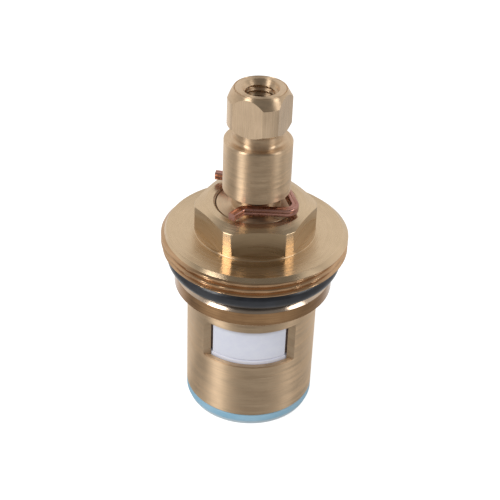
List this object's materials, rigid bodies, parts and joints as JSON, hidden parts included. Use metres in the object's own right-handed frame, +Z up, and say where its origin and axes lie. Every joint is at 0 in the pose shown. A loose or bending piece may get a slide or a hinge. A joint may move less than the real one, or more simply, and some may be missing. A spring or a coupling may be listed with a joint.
{
  "type": "ceramic disc tap cartridge",
  "caption": "Quarter-turn tap valve: brass housing with threaded flange and windows, ceramic discs, seals, and a spindle with a square handle drive.",
  "frame": {"origin": "on the spindle axis, at the foot of the base seal, where the cartridge stands on the tap's seat", "axes": "+Z up along the spindle to the handle; -Y towards the front outlet window; +X to the right of someone who looks at the front window"},
  "size_m": [0.028, 0.028, 0.0537],
  "materials": {
    "brass": "satin turned brass, with fine tool lines",
    "bronze_wire": "drawn copper-coloured bronze wire",
    "black_rubber": "greased black rubber",
    "white_ceramic": "matt alumina, lapped on its faces",
    "blue_silicone": "translucent light blue silicone",
    "white_acetal": "white acetal",
    "stainless_steel": "pressed stainless steel"
  },
  "bodies": {
    "valve_body": {"brass_housing": "brass", "body_o_ring": "black_rubber", "thrust_washer": "white_acetal", "fixed_ceramic_disc": "white_ceramic", "base_seal": "blue_silicone", "seal_support_ring": "stainless_steel"},
    "spindle_assembly": {"spindle": "brass", "spindle_clip": "bronze_wire", "upper_spindle_o_ring": "black_rubber", "lower_spindle_o_ring": "black_rubber", "moving_ceramic_disc": "white_ceramic"}
  },
  "joints": [
    {"name": "spindle_turn", "type": "hinge", "parent": "valve_body", "child": "spindle_assembly", "pos_m": [0, 0, 0], "axis": [0, 0, 1], "range_deg": [0, 90]}
  ]
}
